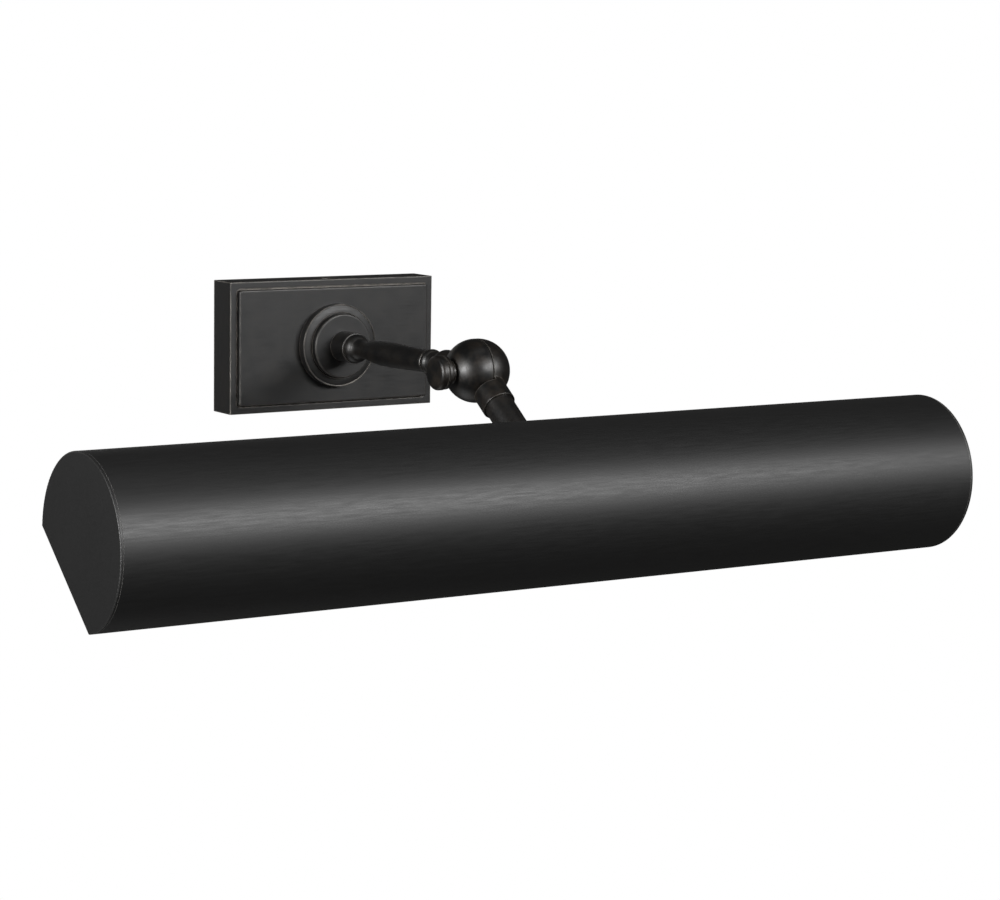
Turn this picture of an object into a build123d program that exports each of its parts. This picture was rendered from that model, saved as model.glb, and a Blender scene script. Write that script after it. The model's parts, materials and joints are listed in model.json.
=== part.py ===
"""A wall-mounted picture light: wall plate, turned arm, ball knuckle and a long open-sided shade.

Frame: the origin is on the wall at the centre of the wall plate. +X runs along the shade,
+Y goes into the wall and +Z is up. All sizes are in millimetres.
"""

from build123d import *
import math
import os

os.makedirs("parts", exist_ok=True)

# ---------------------------------------------------------------- wall plate and strap
PLATE_W = 117.0  # along X
PLATE_H = 66.0  # along Z
PLATE_D = 17.5  # wall to the front rim
PLATE_WALL = 2.0
RIM_W = 3.5  # flat border round the raised panel
PANEL_RISE = 2.5  # how far the panel stands proud of the rim
PANEL_CORNER_R = 2.0
PANEL_EDGE_R = 0.7
GROOVE = 0.5  # width and depth of the fine groove at the panel's foot
PLATE_EDGE_R = 0.3
PANEL_Y = -(PLATE_D + PANEL_RISE)
PLATE_INNER_Y = -(PLATE_D - 2.5)  # inside face of the plate's front

STRAP_T = 2.0
STRAP_W = 100.0
STRAP_H = 18.0
BOX_SCREW_SPACING = 83.3  # hole spacing of a single-gang wall box
SLOT_LENGTH = 12.0
SLOT_R = 2.3
TAB_W = 14.0
TAB_DEPTH = 14.0
TAB_T = 1.6
WIRE_HOLE_X = 16.0
WIRE_HOLE_R = 5.5

PLATE_SCREW_Y = -8.75  # middle of the plate's depth
PLATE_SCREW_R = 1.9
PLATE_SCREW_HEAD_R = 4.4
PLATE_SCREW_LENGTH = 10.0
SINK_DEPTH = 1.7
SLOT_DEPTH = 0.8

GROUND_SCREW_X = -27.0
GROUND_SCREW_R = 1.75
LIVE_END = (21.0, 18.5)  # X and Z where each supply lead ends in its connector
NEUTRAL_END = (21.0, -18.5)

# ---------------------------------------------------------------- rosette and arm (all on the Y axis)
NIPPLE_R = 4.8
NIPPLE_BORE_R = 3.2
NIPPLE_BACK_Y = -8.0
NIPPLE_FRONT_Y = -36.0
ROSETTE_BASE_R = 20.9
ROSETTE_BASE_Y = -24.6  # front of the lip and of the seat under the cap
ROSETTE_LIP_W = 0.5
SWELL_FOOT_Y = -24.2  # lowest part of the swelling face, inside the lip
SWELL_TOP_Y = -24.85
SWELL_R = 16.8  # where the swelling face stops, beside the cap
ROSETTE_CAP_R = 16.2
ROSETTE_CAP_Y = -28.4
COLLAR_R = 7.7
COLLAR_Y = -40.5
ARM_END_Y = -108.5
FERRULE_END_Y = -120.5
HUB_R = 7.3
ARM_BORE_R = 3.0

# ---------------------------------------------------------------- ball knuckle
HINGE_Y = -152.35
BALL_R = 15.05
BALL_LIP = 0.64  # short straight lip that each half has beside the seam
SEAM_HALF_GAP = 0.15
BALL_CAVITY_R = 11.5
CLAMP_BOSS_R = 4.6
FRICTION_HALF_T = 0.8
CLAMP_SCREW_R = 2.5
CLAMP_BORE_R = 2.57
CLAMP_SCREW_TIP_X = 9.5
SEAT_X = -15.9  # flat seat for the spring washer under the knob
SPRING_WASHER_T = 0.6
KNOB_FACE_X = -23.6
KNOB_R = 8.2
KNOB_RING_R = 7.95
SOCKET_ROOT = 12.6  # each socket starts inside the ball's wall, this far from the hinge
OVERHANG_CLEAR_R = 16.7  # a socket's overhang clears the other half of the ball at this radius

# ---------------------------------------------------------------- stem, local Z from the hinge along it
STEM_ANGLE = 53.8  # from straight down towards the room
STEM_SOCKET_R = 8.05
STEM_SOCKET_END = 24.5
STEM_R = 6.96
STEM_BORE_R = 5.2
STEM_START = 17.2
STEM_NIPPLE_START = 27.0
STEM_NIPPLE_END = 56.5
CABLE_R = 2.1
CABLE_OFFSET = 3.3  # the cable passes the clamp screw at this distance from the seam
CABLE_HOLE_R = 2.55

# ---------------------------------------------------------------- shade
SHADE_LENGTH = 457.2
SHADE_R = 38.1
SHADE_T = 0.9
SHADE_Y = -207.07
SHADE_Z = -55.35
LIP_BACK_ANGLE = 3.2  # the two long edges, measured in the YZ plane from +Y towards +Z
LIP_LOWER_ANGLE = 257.9
HEM_T = 0.9
HEM_W = 6.0
CAP_T = 1.4
CAP_EDGE_R = 0.5
SHADE_HOLE_R = 5.1
SADDLE_R = 8.5

# ---------------------------------------------------------------- lamps, local to the stem
BRACKET_L = 49.0  # the bracket's base is square to the stem at this distance
BRACKET_T = 1.2
BRACKET_HALF_X = 45.2
BRACKET_HALF_W = 9.0
BRACKET_FLANGE_END = 76.0
LAMP_L = 66.0  # distance of the lamps' axis from the hinge
SOCKET_R = 10.5
SOCKET_LENGTH = 25.0
SOCKET_BASE_T = 3.8
SOCKET_BORE_R = 7.9
SHELL_R = 7.75
SHELL_T = 0.45
LAMP_CAP_R = 6.9
LAMP_GLASS_R = 12.5
LAMP_GLASS_T = 0.8
LAMP_END_X = 167.0
LEAD_R = 1.1

HINGE = Vector(0, HINGE_Y, 0)
STEM_DIR = Vector(
    0, -math.sin(math.radians(STEM_ANGLE)), -math.cos(math.radians(STEM_ANGLE))
)
STEM = Plane(origin=HINGE, x_dir=(1, 0, 0), z_dir=STEM_DIR)
SHADE_AXIS = Pos(0, SHADE_Y, SHADE_Z)


# ---------------------------------------------------------------- helpers
def save(name, shape):
    """Write one piece as parts/NAME.step."""
    shape.label = name
    export_step(shape, f"parts/{name}.step")
    print(name, round(shape.volume, 1))


def y_cylinder(radius, y_from, y_to, x=0.0, z=0.0):
    """A solid cylinder along Y between two Y values."""
    rod = Cylinder(radius, abs(y_to - y_from))
    return Pos(x, (y_from + y_to) / 2, z) * Rot(90, 0, 0) * rod


def x_cylinder(radius, x_from, x_to, y=HINGE_Y, z=0.0):
    """A solid cylinder along X between two X values."""
    rod = Cylinder(radius, abs(x_to - x_from))
    return Pos((x_from + x_to) / 2, y, z) * Rot(0, 90, 0) * rod


def stem_cylinder(radius, start, end, x=0.0, across=0.0):
    """A solid cylinder along the stem, from start to end measured from the hinge."""
    return STEM * Pos(x, across, (start + end) / 2) * Cylinder(radius, end - start)


def block(x_range, y_range, z_range):
    """A box between two corners."""
    size = [high - low for low, high in (x_range, y_range, z_range)]
    centre = [(high + low) / 2 for low, high in (x_range, y_range, z_range)]
    return Pos(*centre) * Box(*size)


def turned_on_y(outline):
    """Revolve a closed outline of (radius, y) edges about the Y axis."""
    return revolve(make_face(outline), Axis.Y, 360)


def turned_on_x(outline):
    """Revolve a closed outline of (x, radius) edges about the X axis, then put it at the hinge."""
    return Pos(0, HINGE_Y, 0) * revolve(make_face(outline), Axis.X, 360)


def bent_wire(points, radii, wire_r):
    """A round wire along straight runs joined by arcs, and the length of its path."""
    path = FilletPolyline(*points, radius=radii)
    start = path @ 0
    section = Plane(origin=start, z_dir=path % 0) * Circle(wire_r)
    wire = sweep(section, path=path)
    expected = math.pi * wire_r**2 * path.length
    print("  wire volume over section times length:", round(wire.volume / expected, 4))
    return wire


# ---------------------------------------------------------------- wall plate
def wall_plate():
    plate = block(
        (-PLATE_W / 2, PLATE_W / 2), (-PLATE_D, 0), (-PLATE_H / 2, PLATE_H / 2)
    )
    plate = fillet(plate.edges().filter_by(Axis.Y), PLATE_EDGE_R)
    plate = fillet(plate.faces().sort_by(Axis.Y)[0].edges(), PLATE_EDGE_R)

    front = Plane(origin=(0, -PLATE_D, 0), x_dir=(1, 0, 0), z_dir=(0, -1, 0))
    panel_w = PLATE_W - 2 * RIM_W
    panel_h = PLATE_H - 2 * RIM_W
    groove = RectangleRounded(panel_w, panel_h, PANEL_CORNER_R) - RectangleRounded(
        panel_w - 2 * GROOVE, panel_h - 2 * GROOVE, PANEL_CORNER_R - GROOVE
    )
    panel_face = RectangleRounded(
        panel_w - 2 * GROOVE, panel_h - 2 * GROOVE, PANEL_CORNER_R - GROOVE
    )
    panel = extrude(front * panel_face, PANEL_RISE)
    panel = fillet(panel.faces().sort_by(Axis.Y)[0].edges(), PANEL_EDGE_R)
    plate = plate - extrude(front * groove, -GROOVE)
    plate = plate + panel

    hollow = block(
        (-PLATE_W / 2 + PLATE_WALL, PLATE_W / 2 - PLATE_WALL),
        (PLATE_INNER_Y, 1),
        (-PLATE_H / 2 + PLATE_WALL, PLATE_H / 2 - PLATE_WALL),
    )
    plate = plate - fillet(hollow.edges().filter_by(Axis.Y), 1.0)
    plate = plate - y_cylinder(NIPPLE_R + 0.2, PANEL_Y - 1, PLATE_INNER_Y + 1)
    for side in (1, -1):
        plate = plate - plate_screw_sink(side)
    return plate


def plate_screw_sink(side):
    """The countersunk hole in the top (side 1) or bottom (side -1) wall."""
    outer_z = PLATE_H / 2
    cone = Cone(PLATE_SCREW_HEAD_R + 0.6, PLATE_SCREW_R + 0.6, SINK_DEPTH)
    cone = Pos(0, PLATE_SCREW_Y, outer_z - SINK_DEPTH / 2) * Rot(180, 0, 0) * cone
    hole = Pos(0, PLATE_SCREW_Y, outer_z) * Cylinder(PLATE_SCREW_R + 0.6, 2 * PLATE_WALL + 1)
    return mirrored_down(cone + hole, side)


def mirrored_down(shape, side):
    """The shape itself for side 1, or its mirror image in the XY plane for side -1."""
    return shape if side > 0 else mirror(shape, about=Plane.XY)


def plate_screws():
    """Two countersunk screws that hold the plate to the strap's tabs."""
    top = PLATE_H / 2 - 0.35
    head = Cone(PLATE_SCREW_HEAD_R, PLATE_SCREW_R, SINK_DEPTH)
    head = Pos(0, PLATE_SCREW_Y, top - SINK_DEPTH / 2) * Rot(180, 0, 0) * head
    shank = Cylinder(PLATE_SCREW_R - 0.15, PLATE_SCREW_LENGTH)
    shank = Pos(0, PLATE_SCREW_Y, top - PLATE_SCREW_LENGTH / 2) * shank
    screw = head + shank
    for turn in (0, 90):
        cross = Pos(0, PLATE_SCREW_Y, top) * Rot(0, 0, turn) * Box(5.2, 0.9, 2 * SLOT_DEPTH)
        screw = screw - cross
    return Compound([screw, mirror(screw, about=Plane.XY)])


def mounting_strap():
    strap = block((-STRAP_W / 2, STRAP_W / 2), (-STRAP_T, 0), (-STRAP_H / 2, STRAP_H / 2))
    strap = fillet(strap.edges().filter_by(Axis.Y), 3.0)
    tab_top = PLATE_H / 2 - PLATE_WALL - 0.2
    upright = block((-TAB_W / 2, TAB_W / 2), (-STRAP_T, 0), (-tab_top, tab_top))
    strap = strap + upright
    for side in (1, -1):
        tab = block((-TAB_W / 2, TAB_W / 2), (-TAB_DEPTH, 0), (tab_top - TAB_T, tab_top))
        tab = fillet(tab.edges().filter_by(Axis.Z).sort_by(Axis.Y)[:2], 3.0)
        tab = tab - Pos(0, PLATE_SCREW_Y, tab_top) * Cylinder(PLATE_SCREW_R - 0.1, 3 * TAB_T)
        strap = strap + mirrored_down(tab, side)
        slot = SlotOverall(SLOT_LENGTH, 2 * SLOT_R)
        slot = extrude(Plane.XZ * slot, 3 * STRAP_T, both=True)
        strap = strap - Pos(side * BOX_SCREW_SPACING / 2, 0, 0) * slot
        strap = strap - y_cylinder(WIRE_HOLE_R, -3, 1, x=side * WIRE_HOLE_X)
    return strap - y_cylinder(GROUND_SCREW_R + 0.05, -3, 1, x=GROUND_SCREW_X)


def ground_screw():
    head = y_cylinder(3.6, -STRAP_T - 2.2, -STRAP_T, x=GROUND_SCREW_X)
    head = fillet(head.faces().sort_by(Axis.Y)[0].edges(), 0.9)
    shank = y_cylinder(GROUND_SCREW_R, -STRAP_T, -0.2, x=GROUND_SCREW_X)
    slot = block(
        (GROUND_SCREW_X - 4, GROUND_SCREW_X + 4), (-STRAP_T - 2.4, -STRAP_T - 1.3), (-0.5, 0.5)
    )
    return head + shank - slot


# ---------------------------------------------------------------- rosette and arm
def tube_on_y(radius, bore, y_from, y_to):
    return y_cylinder(radius, y_from, y_to) - y_cylinder(bore, y_from + 1, y_to - 1)


def rosette_base():
    """The wide disc: a fine lip round its rim, then a face that swells towards the cap."""
    bore = NIPPLE_R + 0.1
    lip_inner = ROSETTE_BASE_R - ROSETTE_LIP_W
    swell_middle = ((lip_inner + SWELL_R) / 2, (SWELL_FOOT_Y + SWELL_TOP_Y) / 2 - 0.12)
    outline = [
        Line((bore, PANEL_Y), (ROSETTE_BASE_R, PANEL_Y)),
        Line((ROSETTE_BASE_R, PANEL_Y), (ROSETTE_BASE_R, ROSETTE_BASE_Y + 0.15)),
        Line((ROSETTE_BASE_R, ROSETTE_BASE_Y + 0.15), (ROSETTE_BASE_R - 0.15, ROSETTE_BASE_Y)),
        Line((ROSETTE_BASE_R - 0.15, ROSETTE_BASE_Y), (lip_inner, ROSETTE_BASE_Y)),
        Line((lip_inner, ROSETTE_BASE_Y), (lip_inner, SWELL_FOOT_Y)),
        ThreePointArc((lip_inner, SWELL_FOOT_Y), swell_middle, (SWELL_R, SWELL_TOP_Y)),
        Line((SWELL_R, SWELL_TOP_Y), (SWELL_R, SWELL_FOOT_Y)),
        Line((SWELL_R, SWELL_FOOT_Y), (ROSETTE_CAP_R - 0.3, SWELL_FOOT_Y)),
        Line((ROSETTE_CAP_R - 0.3, SWELL_FOOT_Y), (ROSETTE_CAP_R - 0.3, ROSETTE_BASE_Y)),
        Line((ROSETTE_CAP_R - 0.3, ROSETTE_BASE_Y), (bore, ROSETTE_BASE_Y)),
        Line((bore, ROSETTE_BASE_Y), (bore, PANEL_Y)),
    ]
    return turned_on_y(outline)


def rosette_cap():
    disc = tube_on_y(ROSETTE_CAP_R, NIPPLE_R + 0.1, ROSETTE_BASE_Y, ROSETTE_CAP_Y)
    rim = disc.faces().sort_by(Axis.Y)[0].edges().sort_by(SortBy.LENGTH)[-1]
    return fillet(rim, 0.7)


def arm_collar():
    collar = tube_on_y(COLLAR_R, NIPPLE_R + 0.1, ROSETTE_CAP_Y, COLLAR_Y)
    rim = collar.faces().sort_by(Axis.Y)[0].edges().sort_by(SortBy.LENGTH)[-1]
    return fillet(rim, 0.5)


def arm_nipple():
    return tube_on_y(NIPPLE_R, NIPPLE_BORE_R, NIPPLE_BACK_Y, NIPPLE_FRONT_Y)


def nipple_washer():
    washer = tube_on_y(8.5, NIPPLE_R + 0.1, PLATE_INNER_Y + 1.0, PLATE_INNER_Y)
    teeth = PolarLocations(8.5, 12)
    for place in teeth:
        notch = Plane.XZ * place * Rectangle(1.6, 1.6)
        washer = washer - Pos(0, PLATE_INNER_Y + 0.5, 0) * extrude(notch, 1, both=True)
    return washer


def nipple_nut():
    hexagon = Plane.XZ * RegularPolygon(8.0, 6)
    nut = Pos(0, PLATE_INNER_Y + 1.0, 0) * extrude(hexagon, -4.0)
    return nut - y_cylinder(NIPPLE_R + 0.05, 0, -30)


def arm_tube():
    """The turned arm: a rounded foot, a waist, a long swelling and a taper to the ferrule."""
    foot = [
        Line((ARM_BORE_R, -37.0), (NIPPLE_R, -37.0)),
        Line((NIPPLE_R, -37.0), (NIPPLE_R, COLLAR_Y)),
        Line((NIPPLE_R, COLLAR_Y), (7.0, COLLAR_Y)),
    ]
    shoulder = ThreePointArc((7.0, COLLAR_Y), (6.75, -43.0), (5.3, -44.8))
    body = Spline(
        (5.3, -44.8),
        (4.35, -51.5),
        (5.35, -58.5),
        (6.15, -70.0),
        (5.95, -84.0),
        (5.2, ARM_END_Y),
        tangents=((-0.7, -1), (-0.03, -1)),
    )
    end = [
        Line((5.2, ARM_END_Y), (ARM_BORE_R, ARM_END_Y)),
        Line((ARM_BORE_R, ARM_END_Y), (ARM_BORE_R, -37.0)),
    ]
    return turned_on_y(foot + [shoulder, body] + end)


def arm_ferrule():
    """Two fine beads, then a waist that flares to meet the hub."""
    outline = [
        Line((ARM_BORE_R, ARM_END_Y), (5.2, ARM_END_Y)),
        ThreePointArc((5.2, ARM_END_Y), (5.7, -109.2), (5.3, -110.0)),
        Line((5.3, -110.0), (5.3, -110.5)),
        ThreePointArc((5.3, -110.5), (6.4, -112.3), (5.5, -114.6)),
        Spline((5.5, -114.6), (4.45, -118.2), (4.6, FERRULE_END_Y), tangents=((-0.5, -1), (0.2, -1))),
        Line((4.6, FERRULE_END_Y), (ARM_BORE_R, FERRULE_END_Y)),
        Line((ARM_BORE_R, FERRULE_END_Y), (ARM_BORE_R, ARM_END_Y)),
    ]
    return turned_on_y(outline)


# ---------------------------------------------------------------- ball knuckle
def half_ball(side):
    """The outside of half the ball, solid: side -1 is the left half, side 1 the right."""
    lip = 0.3
    keep = block(
        sorted((side * BALL_LIP, side * 30)), (HINGE_Y - 30, HINGE_Y + 30), (-30, 30)
    )
    dome = Pos(side * BALL_LIP, HINGE_Y, 0) * Sphere(BALL_R) & keep
    band = x_cylinder(BALL_R, side * (SEAM_HALF_GAP + lip), side * BALL_LIP)
    bevel = Cone(BALL_R - lip, BALL_R, lip)
    bevel = Pos(side * (SEAM_HALF_GAP + lip / 2), HINGE_Y, 0) * Rot(0, side * 90, 0) * bevel
    return dome + band + bevel


def hollowed(half, side):
    """Hollow out half of the ball, leaving an inner boss for the clamp screw."""
    cup = half - Pos(0, HINGE_Y, 0) * Rot(0, 90, 0) * Sphere(BALL_CAVITY_R)
    pole = math.sqrt(BALL_CAVITY_R**2 - CLAMP_BOSS_R**2) + 1.2
    return cup + x_cylinder(CLAMP_BOSS_R, side * FRICTION_HALF_T, side * pole)


def with_socket(half, socket, side):
    """Join a socket to its half of the ball, and cut it back where it overhangs the other half."""
    far_side = block(
        sorted((side * SEAM_HALF_GAP, -side * 30)), (HINGE_Y - 40, 0), (-40, 30)
    )
    overhang = Pos(0, HINGE_Y, 0) * Sphere(OVERHANG_CLEAR_R) & far_side
    return (half + socket) - overhang


def hinge_half_fixed():
    """The left half of the ball, with the hub that carries it on the arm's end."""
    hub_outline = [
        Line((0, FERRULE_END_Y), (4.6, FERRULE_END_Y)),
        Spline((4.6, FERRULE_END_Y), (HUB_R, -125.6), tangents=((0.55, -1), (0.0, -1))),
        Line((HUB_R, -125.6), (HUB_R, HINGE_Y + SOCKET_ROOT)),
        Line((HUB_R, HINGE_Y + SOCKET_ROOT), (0, HINGE_Y + SOCKET_ROOT)),
        Line((0, HINGE_Y + SOCKET_ROOT), (0, FERRULE_END_Y)),
    ]
    half = with_socket(hollowed(half_ball(-1), -1), turned_on_y(hub_outline), -1)
    half = half + x_cylinder(5.4, SEAT_X, -BALL_R + 1)
    half = half - x_cylinder(CLAMP_BORE_R, SEAT_X - 1, 0)
    half = half - y_cylinder(ARM_BORE_R + 0.2, FERRULE_END_Y + 1, HINGE_Y + 17.8)
    return half - y_cylinder(CABLE_HOLE_R, -126.0, HINGE_Y + 8, x=-CABLE_OFFSET)


def hinge_half_moving():
    """The right half of the ball, with the socket that holds the stem."""
    socket = stem_cylinder(STEM_SOCKET_R, SOCKET_ROOT, STEM_SOCKET_END)
    rims = socket.edges().filter_by(GeomType.CIRCLE)
    rim = rims.sort_by(lambda edge: (edge.center() - HINGE).dot(STEM_DIR))[-1]
    half = with_socket(hollowed(half_ball(1), 1), fillet(rim, 0.35), 1)
    half = half - stem_cylinder(STEM_R + 0.05, STEM_START, STEM_SOCKET_END + 1)
    half = half - x_cylinder(CLAMP_BORE_R, 0, CLAMP_SCREW_TIP_X + 0.5)
    return half - stem_cylinder(CABLE_HOLE_R, 8, STEM_START + 1, x=CABLE_OFFSET)


def ring_on_x(radius, bore, x_from, x_to):
    return x_cylinder(radius, x_from, x_to) - x_cylinder(bore, x_from - 1, x_to + 1)


def friction_washer():
    return ring_on_x(
        CLAMP_BOSS_R, CLAMP_BORE_R + 0.05, -FRICTION_HALF_T + 0.02, FRICTION_HALF_T - 0.3
    )


def spring_washer():
    """A split washer between the knob and the ball's seat."""
    ring = ring_on_x(5.0, CLAMP_BORE_R + 0.1, SEAT_X - SPRING_WASHER_T, SEAT_X)
    cut = Rot(0, 0, 25) * Box(3, 0.7, 4)
    return ring - Pos(SEAT_X, HINGE_Y, -3.9) * cut


def thumb_knob():
    """A smooth round knob: a domed drum, a fine groove, a ring and a neck."""
    back = SEAT_X - SPRING_WASHER_T - 0.05
    screw_end = KNOB_FACE_X + 2.2
    outline = [
        Line((KNOB_FACE_X, 0), (KNOB_FACE_X, 6.2)),
        ThreePointArc((KNOB_FACE_X, 6.2), (-23.05, 7.55), (-21.6, KNOB_R)),
        Line((-21.6, KNOB_R), (-20.0, KNOB_R)),
        Line((-20.0, KNOB_R), (-19.85, 7.5)),
        Line((-19.85, 7.5), (-19.45, 7.5)),
        Line((-19.45, 7.5), (-19.3, KNOB_RING_R)),
        Line((-19.3, KNOB_RING_R), (-17.9, KNOB_RING_R)),
        ThreePointArc((-17.9, KNOB_RING_R), (-17.5, 7.75), (-17.4, 7.3)),
        Line((-17.4, 7.3), (-17.4, 4.7)),
        Line((-17.4, 4.7), (back, 4.7)),
        Line((back, 4.7), (back, CLAMP_SCREW_R)),
        Line((back, CLAMP_SCREW_R), (screw_end, CLAMP_SCREW_R)),
        Line((screw_end, CLAMP_SCREW_R), (screw_end, 0)),
        Line((screw_end, 0), (KNOB_FACE_X, 0)),
    ]
    return turned_on_x(outline)


def clamp_screw():
    screw = x_cylinder(CLAMP_SCREW_R, KNOB_FACE_X + 2.2, CLAMP_SCREW_TIP_X)
    return chamfer(screw.edges().sort_by(Axis.X)[-1], 0.6)


# ---------------------------------------------------------------- stem
def shade_cylinder(radius):
    """A solid cylinder on the shade's axis, longer than the shade."""
    return SHADE_AXIS * Rot(0, 90, 0) * Cylinder(radius, SHADE_LENGTH + 20)


def stem_tube():
    """The stem, its lower end coped to sit on the shade."""
    stem = stem_cylinder(STEM_R, STEM_START, 60) - stem_cylinder(STEM_BORE_R, 0, 70)
    return stem - shade_cylinder(SHADE_R)


def stem_nipple():
    tube = stem_cylinder(NIPPLE_R, STEM_NIPPLE_START, STEM_NIPPLE_END)
    return tube - stem_cylinder(NIPPLE_BORE_R, STEM_NIPPLE_START - 1, STEM_NIPPLE_END + 1)


def stem_saddle():
    """A wedge inside the shade that turns the curved wall into a seat square to the stem."""
    saddle = stem_cylinder(SADDLE_R, 36, BRACKET_L) - stem_cylinder(NIPPLE_R + 0.1, 30, 60)
    return saddle & shade_cylinder(SHADE_R - SHADE_T)


def stem_nut():
    nut = STEM * Pos(0, 0, BRACKET_L + BRACKET_T) * extrude(RegularPolygon(8.0, 6), 4.0)
    return nut - stem_cylinder(NIPPLE_R + 0.05, 30, 60)


# ---------------------------------------------------------------- shade
def arc_point(radius, degrees):
    return (radius * math.cos(math.radians(degrees)), radius * math.sin(math.radians(degrees)))


def arc_band(outer, inner, start, end):
    """A face in the YZ plane between two radii and two angles."""
    return make_face(
        [
            CenterArc((0, 0), outer, start, end - start),
            Line(arc_point(outer, end), arc_point(inner, end)),
            CenterArc((0, 0), inner, start, end - start),
            Line(arc_point(inner, start), arc_point(outer, start)),
        ]
    )


def shade_shell():
    """The rolled shade, with a folded hem along each long edge."""
    half = SHADE_LENGTH / 2 - CAP_T
    inner = SHADE_R - SHADE_T
    hem = math.degrees(HEM_W / inner)
    section = arc_band(SHADE_R, inner, LIP_BACK_ANGLE, LIP_LOWER_ANGLE)
    hem_inner = inner - HEM_T
    section = section + arc_band(inner, hem_inner, LIP_BACK_ANGLE, LIP_BACK_ANGLE + hem)
    section = section + arc_band(inner, hem_inner, LIP_LOWER_ANGLE - hem, LIP_LOWER_ANGLE)
    shell = SHADE_AXIS * extrude(Plane.YZ * section, half, both=True)
    return shell - stem_cylinder(SHADE_HOLE_R, 36, 52)


def end_cap(side):
    """A flat end, cut straight across the shade's open side."""
    outline = make_face(
        [
            CenterArc((0, 0), SHADE_R, LIP_BACK_ANGLE, LIP_LOWER_ANGLE - LIP_BACK_ANGLE),
            Line(arc_point(SHADE_R, LIP_LOWER_ANGLE), arc_point(SHADE_R, LIP_BACK_ANGLE)),
        ]
    )
    outer_x = side * SHADE_LENGTH / 2
    cap = extrude(Plane.YZ * outline, CAP_T)
    if side > 0:
        cap = Pos(outer_x - CAP_T, 0, 0) * cap
    else:
        cap = Pos(outer_x, 0, 0) * cap
    cap = SHADE_AXIS * cap
    outer_face = cap.faces().sort_by(Axis.X)[-1 if side > 0 else 0]
    return fillet(outer_face.edges().filter_by(GeomType.CIRCLE), CAP_EDGE_R)


# ---------------------------------------------------------------- lamp holder and lamps
def stem_block(x_range, across_range, along_range):
    """A box in the stem's frame: X, across the stem, and along it from the hinge."""
    return STEM * block(x_range, across_range, along_range)


def lamp_bracket():
    """A folded strip clamped on the stem, with a flange for each lamp socket."""
    half_w = (-BRACKET_HALF_W, BRACKET_HALF_W)
    base_end = BRACKET_L + BRACKET_T
    bracket = stem_block((-BRACKET_HALF_X, BRACKET_HALF_X), half_w, (BRACKET_L, base_end))
    for side in (1, -1):
        flange_x = sorted((side * (BRACKET_HALF_X - BRACKET_T), side * BRACKET_HALF_X))
        flange = stem_block(flange_x, half_w, (BRACKET_L, BRACKET_FLANGE_END))
        for across in (-5.5, 5.5):
            flange = flange - on_lamp_axis(1.35, *flange_x, across)
        flange = flange - on_lamp_axis(3.0, *flange_x)
        bracket = bracket + flange
    return bracket - stem_cylinder(NIPPLE_R + 0.1, 40, 60)


def on_lamp_axis(radius, x_from, x_to, across=0.0):
    """A solid cylinder along X on the lamps' axis, or beside it."""
    rod = Rot(0, 90, 0) * Cylinder(radius, abs(x_to - x_from))
    return STEM * Pos((x_from + x_to) / 2, across, LAMP_L) * rod


def lamp_socket(side):
    """A moulded cup with a bore for the screw shell and holes for its wires and screws."""
    near = side * BRACKET_HALF_X
    far = side * (BRACKET_HALF_X + SOCKET_LENGTH)
    floor = side * (BRACKET_HALF_X + SOCKET_BASE_T)
    cup = on_lamp_axis(SOCKET_R, near, far) - on_lamp_axis(SOCKET_BORE_R, floor, far + side)
    cup = cup - on_lamp_axis(2.6, near, floor)
    for across in (-5.5, 5.5):
        cup = cup - on_lamp_axis(1.2, near, near + side * 3.2, across)
    return cup


def screw_shell(side):
    start = side * (BRACKET_HALF_X + SOCKET_BASE_T)
    end = start + side * 16.0
    shell = on_lamp_axis(SHELL_R, start, end)
    shell = shell - on_lamp_axis(SHELL_R - SHELL_T, start + side * 0.8, end + side)
    return shell - on_lamp_axis(3.2, start, start + side * 2)


def centre_contact(side):
    """The sprung tongue that the lamp's tip presses on."""
    start = side * (BRACKET_HALF_X + 1.5)
    stalk = on_lamp_axis(1.2, start, start + side * 3.5)
    return stalk + on_lamp_axis(2.4, start + side * 2.5, start + side * 3.5)


def lamp_outline(glass_start, radius, end):
    """Half outline of a tubular lamp's glass: a neck, a shoulder, a tube and a round end."""
    neck = 6.2 + (radius - LAMP_GLASS_R)
    return [
        Line((glass_start, 0), (glass_start, neck)),
        Line((glass_start, neck), (glass_start + 4.0, neck)),
        Spline(
            (glass_start + 4.0, neck), (glass_start + 14.0, radius), tangents=((1, 0.25), (1, 0))
        ),
        Line((glass_start + 14.0, radius), (end - radius, radius)),
        CenterArc((end - radius, 0), radius, 0, 90),
        Line((end, 0), (glass_start, 0)),
    ]


def on_right_lamp(outline):
    """Revolve an (x, radius) outline about the lamps' axis, on the right-hand side."""
    return STEM * Pos(0, 0, LAMP_L) * revolve(make_face(outline), Axis.X, 360)


def lamp_glass():
    start = 66.0
    outer = on_right_lamp(lamp_outline(start, LAMP_GLASS_R, LAMP_END_X))
    inner_r = LAMP_GLASS_R - LAMP_GLASS_T
    inner = on_right_lamp(lamp_outline(start, inner_r, LAMP_END_X - LAMP_GLASS_T))
    return outer - inner


def lamp_cap():
    """The lamp's screw cap: rim, threaded body, insulator and tip."""
    outline = [
        Line((50.3, 0), (50.3, 1.8)),
        Line((50.3, 1.8), (51.0, 2.2)),
        Line((51.0, 2.2), (52.5, 5.6)),
        Line((52.5, 5.6), (53.5, LAMP_CAP_R)),
        Line((53.5, LAMP_CAP_R), (69.0, LAMP_CAP_R)),
        Line((69.0, LAMP_CAP_R), (69.0, 6.4)),
        Line((69.0, 6.4), (65.8, 6.3)),
        Line((65.8, 6.3), (65.8, 0)),
        Line((65.8, 0), (50.3, 0)),
    ]
    return on_right_lamp(outline)


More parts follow.
